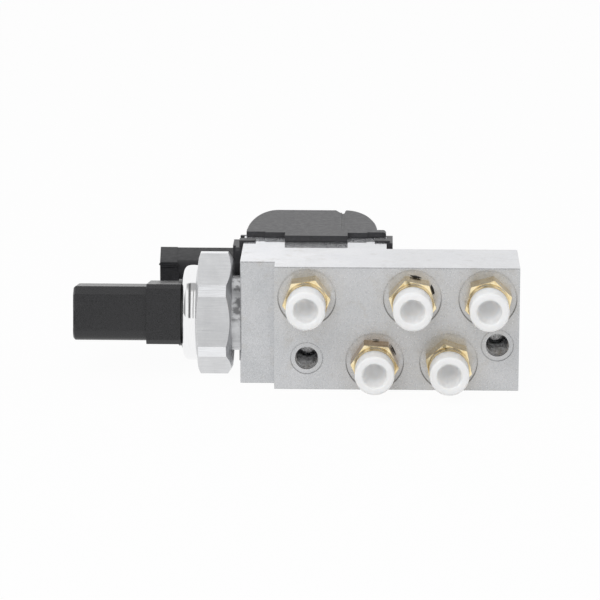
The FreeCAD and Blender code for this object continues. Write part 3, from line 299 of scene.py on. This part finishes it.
def plated_steel(name):
    """Clear-plated steel bar: flats with drawn streaks, turned corner lands that are smoother and also
    painted lighter as a highlight, and a painted dark reflection on the neck, strongest on its upper
    half.
    """
    s = Surface(name, Metallic=1.0)
    streaks = s.noise(2.6, stretch=(0.06, 1, 1), detail=4.0, rough=0.62)
    clouds = s.spread(s.noise(0.16, stretch=(1, 0.5, 0.5), detail=3.0, offset=11.0), 0.35, 0.65)
    color = s.mix(clouds, (0.62, 0.625, 0.635), (0.70, 0.705, 0.715))
    color = s.mix(s.spread(streaks, 0.38, 0.68, 0.0, 0.30), color, (0.44, 0.45, 0.47))
    radius = s.from_axis(SENSOR_AXIS, "X")
    # Turned corner lands: a real smoother finish (roughness lowered below), and a colour painted
    # lighter as a highlight.
    land = s.math("MULTIPLY", s.spread(radius, *SENSOR_LAND_RADIUS),
                  s.spread(streaks, 0.35, 0.65, 1.0, 0.72))
    color = s.mix(land, color, (0.86, 0.87, 0.89))
    fine = s.noise(1.6, detail=4.0, rough=0.7, offset=5.0)
    color = s.mix(s.spread(fine, 0.5, 0.75, 0.0, 0.18), color, (0.90, 0.90, 0.90))
    # Painted reflection: dark patches on the neck, strong on its upper half and faint on the lower
    # half.
    axis_z = SENSOR_AXIS.z / MM
    painted_upper_half = s.spread(s.along("Z"), axis_z - 0.5, axis_z + 0.5, 0.12, 0.75)
    neck = s.math("MULTIPLY", s.spread(radius, *SENSOR_NECK_RADIUS, 1.0, 0.0), painted_upper_half)
    neck_painted_reflection = s.spread(s.noise(0.42, stretch=(0.8, 1, 1), detail=4.0, rough=0.6, offset=1.0), 0.46, 0.58)
    color = s.mix(s.math("MULTIPLY", neck, neck_painted_reflection), color, (0.12, 0.12, 0.125))
    satin = s.spread(streaks, 0.3, 0.7, 0.27, 0.42)
    roughness = s.math("MULTIPLY", satin, s.spread(radius, *SENSOR_LAND_RADIUS, 1.0, 0.42))
    return s.finish(color, roughness, s.bump(streaks, 0.010))


def bright_collar(name):
    """Drawn bright steel with fine lines round it."""
    s = Surface(name, Metallic=1.0)
    lines = s.noise(7.0, stretch=(1, 0.05, 0.05), detail=3.0)
    smear = s.spread(s.noise(0.5, detail=3.0, offset=4.0), 0.4, 0.7)
    color = s.mix(s.spread(lines, 0.4, 0.7, 0.0, 0.20), (0.92, 0.92, 0.925), (0.76, 0.76, 0.77))
    return s.finish(color, s.spread(smear, 0, 1, 0.05, 0.11), s.bump(lines, 0.002))


def black_plastic(name, dark, light, rough_low, rough_high, mottle=1.1, grain_mm=0.022, specks=0.35):
    """Glass-filled black plastic: spark-eroded grain, mottled skin and pale rub marks."""
    s = Surface(name, IOR=1.54)
    skin = s.spread(s.noise(mottle, detail=4.0, rough=0.65), 0.34, 0.66)
    color = s.mix(skin, dark, light)
    rubbed = s.noise(mottle * 2.7, detail=2.0, offset=9.0)
    color = s.mix(s.spread(rubbed, 0.56, 0.76, 0.0, specks), color, tuple(3.5 * c for c in light))
    grain = s.noise(2.6, detail=4.0, rough=0.7)
    roughness = s.spread(skin, 0, 1, rough_low, rough_high)
    return s.finish(color, roughness, s.bump(grain, grain_mm))


def rubber(name):
    """Dull black rubber with dust on it."""
    s = Surface(name, IOR=1.50)
    dust = s.noise(1.4, detail=4.0, rough=0.65)
    color = s.mix(s.spread(dust, 0.4, 0.7), (0.012, 0.012, 0.012), (0.035, 0.034, 0.032))
    return s.finish(color, s.spread(dust, 0.3, 0.7, 0.55, 0.75), s.bump(dust, 0.02))


def contact_metal(name, color_low, color_high, rough=0.28):
    """Small bright metal pieces with drawn lines."""
    s = Surface(name, Metallic=1.0)
    lines = s.noise(5.5, stretch=(0.2, 1, 1), detail=3.0)
    color = s.mix(s.spread(lines, 0.35, 0.65), color_low, color_high)
    return s.finish(color, s.spread(lines, 0.3, 0.7, rough - 0.06, rough + 0.08), s.bump(lines, 0.006))


def tapped_wall(name):
    """Thread flanks in the block, lighter and darker in bands along the hole."""
    s = Surface(name, Metallic=1.0)
    depth = s.along("Y")
    wander = s.math("MULTIPLY", s.noise(0.8, detail=3.0), 5.0)
    band = s.math("SINE", s.math("MULTIPLY", s.math("ADD", depth, wander), 2 * math.pi / 4.6))
    color = s.mix(s.spread(band, -0.5, 0.8), (0.70, 0.70, 0.705), (0.96, 0.96, 0.97))
    color = s.mix(s.spread(depth, 1.0, 6.0, 0.75, 0.0), color, (0.20, 0.20, 0.20))
    swarf = s.noise(2.4, detail=4.0, rough=0.7)
    return s.finish(color, s.spread(swarf, 0.3, 0.7, 0.22, 0.40), s.bump(swarf, 0.02))


def ceramic(name):
    """Fired off-white ceramic with a fine grain."""
    s = Surface(name, IOR=1.6)
    grain = s.noise(3.0, detail=4.0, rough=0.7)
    color = s.mix(s.spread(grain, 0.35, 0.65), (0.80, 0.78, 0.73), (0.90, 0.88, 0.84))
    return s.finish(color, s.spread(grain, 0.3, 0.7, 0.40, 0.55), s.bump(grain, 0.01))


def circuit_board(name):
    """Green lacquer over a glass weave."""
    s = Surface(name, IOR=1.5)
    weave = s.math("MULTIPLY", s.math("SINE", s.vector("DOT_PRODUCT", s.place, (0, 9.0, 0))),
                   s.math("SINE", s.vector("DOT_PRODUCT", s.place, (0, 0, 9.0))))
    color = s.mix(s.spread(weave, -1, 1), (0.02, 0.13, 0.06), (0.04, 0.22, 0.10))
    return s.finish(color, s.spread(weave, -1, 1, 0.25, 0.38), s.bump(weave, 0.008))


def wire_turns(name):
    """Enamelled copper wire wound in close turns along Y."""
    s = Surface(name, Metallic=1.0)
    wave = s.math("SINE", s.vector("DOT_PRODUCT", s.place, (0, 2 * math.pi / 0.3, 0)))
    blotch = s.noise(1.0, detail=3.0)
    color = s.mix(s.spread(wave, -1, 1), (0.30, 0.12, 0.05), (0.72, 0.36, 0.18))
    color = s.mix(s.spread(blotch, 0.4, 0.7, 0.0, 0.4), color, (0.50, 0.22, 0.09))
    return s.finish(color, s.spread(blotch, 0.3, 0.7, 0.22, 0.38), s.bump(wave, 0.05))


MATERIALS = {
    "block_aluminium": aluminium("milled_aluminium", (0.585, 0.595, 0.61), (0.65, 0.655, 0.67),
                                 0.19, 0.31, grain_mm=0.008),
    "brass": brass("turned_brass", (0.78, 0.57, 0.25), (0.98, 0.85, 0.56)),
    "white_plastic": white_plastic("white_polyamide"),
    "plated_steel": plated_steel("plated_steel"),
    "bright_collar": bright_collar("drawn_bright_steel"),
    "sensor_plastic": black_plastic("sensor_moulding", (0.009, 0.009, 0.010), (0.016, 0.016, 0.018),
                                    0.22, 0.40, mottle=2.0, grain_mm=0.030, specks=0.25),
    "cover_plastic": black_plastic("cover_moulding", (0.024, 0.024, 0.026), (0.036, 0.036, 0.040),
                                   0.38, 0.50, mottle=0.6),
    "connector_plastic": black_plastic("connector_moulding", (0.007, 0.007, 0.009),
                                       (0.014, 0.014, 0.016), 0.62, 0.78, mottle=0.7),
    "black_rubber": rubber("moulded_rubber"),
    "tinned_contact": contact_metal("tinned_contact", (0.62, 0.60, 0.55), (0.80, 0.78, 0.73)),
    "ceramic_cell": ceramic("fired_ceramic"),
    "circuit_board": circuit_board("green_board"),
    "copper_wire": wire_turns("enamelled_wire"),
    "bobbin_plastic": black_plastic("bobbin_moulding", (0.05, 0.05, 0.053), (0.085, 0.085, 0.09),
                                    0.42, 0.58),
    "hard_steel": contact_metal("hardened_steel", (0.50, 0.51, 0.53), (0.66, 0.67, 0.69), 0.20),
    "soft_iron": contact_metal("magnetic_steel", (0.42, 0.43, 0.45), (0.58, 0.59, 0.61), 0.32),
}
# Painted highlight: a lighter, rougher copy of the aluminium on the block's rounded edges.
BLOCK_EDGE_HIGHLIGHT = aluminium("block_edges_highlight", (0.72, 0.72, 0.73), (0.80, 0.80, 0.81), 0.34, 0.48,
                       grain_mm=0.006)
# Up-facing faces: a real smoother polished finish, with a colour also painted lighter than the front
# faces as light falling on the top.
BLOCK_TOP_POLISHED_LIT = aluminium("block_top_polished_lit", (0.82, 0.83, 0.86), (0.90, 0.905, 0.93), 0.02, 0.46, grain_mm=0.0006,
                      grain_share=0.10, polished=True)
# Painted highlight: a lighter steel on the rounded edges of the sensor's hexagon body.
STEEL_EDGE_HIGHLIGHT = contact_metal("steel_edges_highlight", (0.84, 0.84, 0.85), (0.94, 0.94, 0.94), 0.22)
TAPPED = tapped_wall("tapped_wall")
DARK_BEAD = rubber("dark_bead_rubber")


def paint(piece, *materials):
    """Sets a piece's materials. Every face then shows the first, so indices are set afterwards."""
    piece.data.materials.clear()
    for material in materials:
        piece.data.materials.append(material)


def paint_node(node, material):
    """Gives a CAD node a material through its object's slots."""
    for slot in frame["nodes"][node].material_slots:
        slot.link = "OBJECT"
        slot.material = material


# ---- meshes ----------------------------------------------------------------------------
def new_piece(name, bm, body):
    """Turns a bmesh into an object that moves with a body."""
    mesh = bpy.data.meshes.new(name)
    bm.to_mesh(mesh)
    bm.free()
    piece = bpy.data.objects.new(name, mesh)
    scene.collection.objects.link(piece)
    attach(piece, body)
    return piece


def softened(node, width, segments=2, edge=None, top=None, smooth=28.0, rims=(), rim_width=0.0):
    """Stands for a CAD node: its flat faces joined and its sharp edges rounded.

    Edges round the rims, circles about an axis along Y, are rounded more.
    """
    bm = bmesh.new()
    bm.from_mesh(frame["nodes"][node].data)
    bmesh.ops.remove_doubles(bm, verts=bm.verts, dist=1e-6)
    bmesh.ops.dissolve_limit(bm, angle_limit=math.radians(0.6), verts=bm.verts, edges=bm.edges,
                             use_dissolve_boundaries=False)
    for face in bm.faces:
        face.smooth = True
    widest = max(width, rim_width)
    weight = bm.edges.layers.float.new("bevel_weight_edge")
    for line in bm.edges:
        line.smooth = line.calc_face_angle(0.0) < math.radians(smooth)
        if not line.smooth:
            on_rim = any(abs((v.co - spot).length - radius * MM) < 0.02 * MM
                         for spot, radius in rims for v in line.verts)
            line[weight] = 1.0 if on_rim else width / widest
    slot = SLOT_OF[node]
    piece = new_piece(node + "_finished", bm, BODY_OF[node])
    paint(piece, MATERIALS[slot], edge or MATERIALS[slot], top or MATERIALS[slot])
    for face in piece.data.polygons:
        face.material_index = 2 if top and face.normal.z > 0.95 else 0
    bevel = piece.modifiers.new("edges", "BEVEL")
    bevel.width = widest * MM
    bevel.segments = segments
    bevel.limit_method = "WEIGHT"
    bevel.harden_normals = True
    if edge:
        bevel.material = 1
    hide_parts(node)


def block_piece(name, bm, material, flat_ends=False):
    """A closed, smooth piece that sits on the block; its many-sided ends can be left flat."""
    bmesh.ops.recalc_face_normals(bm, faces=bm.faces)
    for face in bm.faces:
        face.smooth = not flat_ends or len(face.verts) == 4
    piece = new_piece(name, bm, "valve_body")
    paint(piece, material)


def join_rings(bm, a, b):
    """Faces between two rings of as many points."""
    for k in range(len(a)):
        n = (k + 1) % len(a)
        bm.faces.new((a[k], a[n], b[n], b[k]))


def pressed_spring(k):
    """The return spring of one armature, with one end on the armature and one on the pole core."""
    node = "return_spring_%d" % k
    mesh = frame["nodes"][node].data.copy()
    mesh.name = node + "_coil"
    coil = bpy.data.objects.new(node + "_coil", mesh)
    scene.collection.objects.link(coil)
    paint(coil, MATERIALS[SLOT_OF[node]])
    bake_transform(coil)
    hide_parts(node)


def thread(name, centre, radius, depth, start, length, pitch, material):
    """A helical ridge that stands inwards from the wall of a hole along Y."""
    bm = bmesh.new()
    steps = int(length / pitch * ROUND_STEPS)
    sections = []
    for i in range(steps + 1):
        angle = 2 * math.pi * i / ROUND_STEPS
        y = start + pitch * i / ROUND_STEPS
        rise = min(1.0, i / ROUND_STEPS, (steps - i) / ROUND_STEPS)
        section = []
        for r, dy in ((radius, -0.42 * pitch), (radius - depth * rise, -0.06 * pitch),
                      (radius - depth * rise, 0.06 * pitch), (radius, 0.42 * pitch)):
            spot = Vector((r * math.cos(angle), y + dy, r * math.sin(angle)))
            section.append(bm.verts.new(centre + spot * MM))
        sections.append(section)
    for a, b in zip(sections, sections[1:]):
        for j in range(4):
            k = (j + 1) % 4
            bm.faces.new((a[j], b[j], b[k], a[k]))
    bm.faces.new(sections[0])
    bm.faces.new(reversed(sections[-1]))
    block_piece(name, bm, material)


def drill_end(name, centre, radius, depth, dish, material):
    """The dished end that the drill left at the bottom of a hole along Y."""
    bm = bmesh.new()
    rings = []
    angles = [2 * math.pi * k / ROUND_STEPS for k in range(ROUND_STEPS)]
    for r, dy in ((radius, -dish), (radius * 0.66, -dish * 0.66), (radius * 0.30, -dish * 0.3),
                  (0.25, 0.0)):
        rings.append([bm.verts.new(centre + Vector((r * math.cos(a), depth + dy, r * math.sin(a))) * MM)
                      for a in angles])
    behind = 0.2
    rings.append([bm.verts.new(v.co + Vector((0, (dish + behind) * MM, 0))) for v in rings[0]])
    for a, b in [*zip(rings[:4], rings[1:4]), (rings[4], rings[0])]:
        join_rings(bm, a, b)
    bm.faces.new(rings[3])
    bm.faces.new(rings[4])
    block_piece(name, bm, material, flat_ends=True)


def bead(name, points, radius, squash, seed, material):
    """An uneven bead along a line of points, thin at both ends."""
    rng = random.Random(seed)
    bm = bmesh.new()
    rings = []
    last = len(points) - 1
    for i, point in enumerate(points):
        ahead = points[min(i + 1, last)] - points[max(i - 1, 0)]
        side = ahead.cross(Vector((0, 1, 0))).normalized()
        swell = math.sin(math.pi * (i + 0.35) / (last + 0.7)) ** 0.6 * rng.uniform(0.75, 1.15)
        ring = []
        for k in range(BEAD_STEPS):
            angle = 2 * math.pi * k / BEAD_STEPS
            off = side * math.cos(angle) + Vector((0, squash * math.sin(angle), 0))
            ring.append(bm.verts.new(point + off * radius * swell * MM))
        rings.append(ring)
    for a, b in zip(rings, rings[1:]):
        join_rings(bm, a, b)
    bm.faces.new(rings[0])
    bm.faces.new(reversed(rings[-1]))
    block_piece(name, bm, material)


def hexagon_side(port, turn, side, start, end, across_flats, steps=14):
    """Points along one side of a port hexagon, just in front of the spotface."""
    centre = PORT_AXES[port - 1].copy()
    corner = across_flats / 2 / math.cos(math.radians(30))
    ends = [Vector((math.cos(a), 0, math.sin(a))) * corner * MM
            for a in (math.radians(60 * side + turn), math.radians(60 * (side + 1) + turn))]
    centre.y = 0.32 * MM
    return [centre + ends[0].lerp(ends[1], start + (end - start) * i / steps) for i in range(steps + 1)]


# ---- pieces ----------------------------------------------------------------------------
for name in frame["nodes"]:
    paint_node(name, MATERIALS[SLOT_OF[name]])

# Up-facing faces of the block take the polished top painted lighter than the front; rounded edges take
# a painted edge highlight.
softened("valve_block", 0.08, edge=BLOCK_EDGE_HIGHLIGHT, top=BLOCK_TOP_POLISHED_LIT,
         rims=[(spot, HOLE_RADIUS) for spot in FIXINGS], rim_width=0.26)
for k in PORTS:
    softened("port_fitting_%d" % k, 0.12)
    softened("transit_plug_%d" % k, 0.16, segments=3)
softened("sensor_hex_body", 0.16, edge=STEEL_EDGE_HIGHLIGHT, smooth=18.0)
softened("sensor_connector_shell", 0.28, segments=3)
softened("solenoid_cover", 0.22, segments=3)
softened("connector_housing", 0.25, segments=3)
softened("sensor_pins", 0.12)
softened("connector_pins", 0.10)

for k in VALVES:
    pressed_spring(k)

for side, spot in zip(("left", "right"), FIXINGS):
    thread("fixing_thread_" + side, spot, HOLE_RADIUS + 0.005, THREAD_HEIGHT, start=0.9, length=14.6,
           pitch=THREAD_PITCH, material=TAPPED)
    drill_end("drill_end_" + side, spot, HOLE_RADIUS - 0.025, depth=15.75, dish=0.15,
              material=TAPPED)

# Dark beads along the back edges of two port hexagons, where they meet the spotface.
# The port, its hexagon's turn, the side, both ends along it, the place across flats, the radius
for name, port, turn, side, start, end, across, radius in (
        ("sealant_bead_2_top", 2, -12.5, 1, 0.32, 0.80, 12.6, 0.34),
        ("sealant_bead_2_right", 2, -12.5, 0, 0.38, 0.81, 12.5, 0.36),
        ("sealant_bead_4_top", 4, -4.0, 1, 0.38, 0.66, 12.5, 0.18),
        ("sealant_bead_4_right", 4, -4.0, 0, 0.35, 0.85, 12.5, 0.26)):
    bead(name, hexagon_side(port, turn, side, start, end, across), radius, 0.7, 7 * port + side,
         DARK_BEAD)


# ---- studio ----------------------------------------------------------------------------
def node_math(tree, operation, *inputs):
    """A math node in a tree, fed with sockets or numbers."""
    node = tree.nodes.new("ShaderNodeMath")
    node.operation = operation
    for socket, value in zip(node.inputs, inputs):
        if isinstance(value, bpy.types.NodeSocket):
            tree.links.new(value, socket)
        else:
            socket.default_value = value
    return node.outputs[0]


def ramp(tree, value, low, high, to_low, to_high):
    """Maps a span of a value to another span with soft ends."""
    node = tree.nodes.new("ShaderNodeMapRange")
    node.interpolation_type = "SMOOTHSTEP"
    for socket, number in zip(RANGE_SOCKETS, (low, high, to_low, to_high)):
        node.inputs[socket].default_value = number
    tree.links.new(value, node.inputs["Value"])
    return node.outputs[0]


def floor_plane():
    """A pale floor that keeps the shadow and otherwise shows as the backdrop."""
    bm = bmesh.new()
    bmesh.ops.create_grid(bm, x_segments=8, y_segments=8, size=3.0)
    mesh = bpy.data.meshes.new("floor")
    bm.to_mesh(mesh)
    bm.free()
    floor = bpy.data.objects.new("floor", mesh)
    scene.collection.objects.link(floor)
    floor.location.z = CAD_BOX[0].z - 0.05 * MM
    material = bpy.data.materials.new("studio_floor")
    material.use_nodes = True
    tree = material.node_tree
    tree.nodes.clear()
    output = tree.nodes.new("ShaderNodeOutputMaterial")
    diffuse = tree.nodes.new("ShaderNodeBsdfDiffuse")
    diffuse.inputs["Color"].default_value = (0.80, 0.80, 0.80, 1)
    glow = tree.nodes.new("ShaderNodeEmission")
    glow.inputs["Color"].default_value = (1, 1, 1, 1)
    rays = tree.nodes.new("ShaderNodeLightPath")
    seen = node_math(tree, "MAXIMUM", rays.outputs["Is Camera Ray"], rays.outputs["Is Glossy Ray"])
    seen = node_math(tree, "MAXIMUM", seen, rays.outputs["Is Transmission Ray"])
    blend = tree.nodes.new("ShaderNodeMixShader")
    tree.links.new(node_math(tree, "MULTIPLY", seen, 0.96), blend.inputs[0])
    tree.links.new(diffuse.outputs[0], blend.inputs[1])
    tree.links.new(glow.outputs[0], blend.inputs[2])
    tree.links.new(blend.outputs[0], output.inputs["Surface"])
    mesh.materials.append(material)


def background(tree, strength=1.0):
    """A white background of some strength."""
    node = tree.nodes.new("ShaderNodeBackground")
    node.inputs["Color"].default_value = (1, 1, 1, 1)
    node.inputs["Strength"].default_value = strength
    return node


def light_tent():
    """Even white tent. Shiny parts see its panels, the gaps between them, its dark left end and top."""
    world = bpy.data.worlds.new("light_tent")
    scene.world = world
    world.use_nodes = True
    tree = world.node_tree
    tree.nodes.clear()
    output = tree.nodes.new("ShaderNodeOutputWorld")
    toward = tree.nodes.new("ShaderNodeTexCoord")
    split = tree.nodes.new("ShaderNodeSeparateXYZ")
    tree.links.new(toward.outputs["Generated"], split.inputs[0])
    x, y, z = split.outputs
    above = node_math(tree, "MULTIPLY", ramp(tree, z, -0.03, 0.0, 0.0, 1.0),
                      ramp(tree, y, -0.03, 0.03, 1.0, 0.0))
    wide_gap = node_math(tree, "MULTIPLY", ramp(tree, x, -0.29, -0.24, 0.0, 0.86),
                         ramp(tree, x, -0.13, -0.09, 1.0, 0.0))
    slim_gap = node_math(tree, "MULTIPLY", ramp(tree, x, 0.02, 0.04, 0.0, 0.60),
                         ramp(tree, x, 0.09, 0.12, 1.0, 0.0))
    left_end = ramp(tree, x, -0.95, -0.62, 0.75, 0.0)
    ceiling = ramp(tree, z, 0.88, 0.95, 0.0, 0.55)
    gaps = node_math(tree, "MAXIMUM", node_math(tree, "MAXIMUM", wide_gap, slim_gap),
                     node_math(tree, "MAXIMUM", left_end, ceiling))
    panels = node_math(tree, "SUBTRACT", 1.0, node_math(tree, "MULTIPLY", gaps, above))
    ambient = background(tree, 0.58)
    backdrop = background(tree)
    mirrored = background(tree)
    tree.links.new(panels, mirrored.inputs["Strength"])
    rays = tree.nodes.new("ShaderNodeLightPath")
    first = tree.nodes.new("ShaderNodeMixShader")
    second = tree.nodes.new("ShaderNodeMixShader")
    clear = node_math(tree, "MAXIMUM", rays.outputs["Is Camera Ray"],
                      rays.outputs["Is Transmission Ray"])
    tree.links.new(clear, first.inputs[0])
    tree.links.new(ambient.outputs[0], first.inputs[1])
    tree.links.new(backdrop.outputs[0], first.inputs[2])
    tree.links.new(rays.outputs["Is Glossy Ray"], second.inputs[0])
    tree.links.new(first.outputs[0], second.inputs[1])
    tree.links.new(mirrored.outputs[0], second.inputs[2])
    tree.links.new(second.outputs[0], output.inputs["Surface"])


def softbox():
    """One broad soft lamp, high at the front left, that no reflection shows."""
    lamp = bpy.data.lights.new("softbox", "AREA")
    lamp.shape = "RECTANGLE"
    lamp.size = 0.9
    lamp.size_y = 0.6
    lamp.energy = 7.2
    box = bpy.data.objects.new("softbox", lamp)
    scene.collection.objects.link(box)
    box.location = Vector((-0.30, -0.90, 0.85))
    box.rotation_euler = (-box.location).to_track_quat("-Z", "Y").to_euler()
    box.visible_glossy = False


def camera():
    """A long lens that looks along the block, a little from above."""
    yaw, pitch, roll = (math.radians(a) for a in (-1.409, 13.5, 0.095))
    aim = Vector((-1.93, 0.0, 17.09)) * MM
    away = 954.8 * MM
    ahead = Vector((math.sin(yaw) * math.cos(pitch), math.cos(yaw) * math.cos(pitch), -math.sin(pitch)))
    right = Vector((math.cos(yaw), -math.sin(yaw), 0))
    up = right.cross(ahead)
    tilted_right = right * math.cos(roll) + up * math.sin(roll)
    tilted_up = up * math.cos(roll) - right * math.sin(roll)
    data = bpy.data.cameras.new("camera")
    data.sensor_width = 36.0
    data.lens = 200.87
    data.clip_start = 0.01
    data.clip_end = 20.0
    eye = bpy.data.objects.new("camera", data)
    scene.collection.objects.link(eye)
    turn = Matrix((tilted_right, tilted_up, -ahead)).transposed().to_4x4()
    eye.matrix_world = Matrix.Translation(aim - ahead * away) @ turn
    scene.camera = eye


floor_plane()
light_tent()
softbox()
camera()
scene.view_settings.view_transform = "Standard"

bpy.context.view_layer.update()
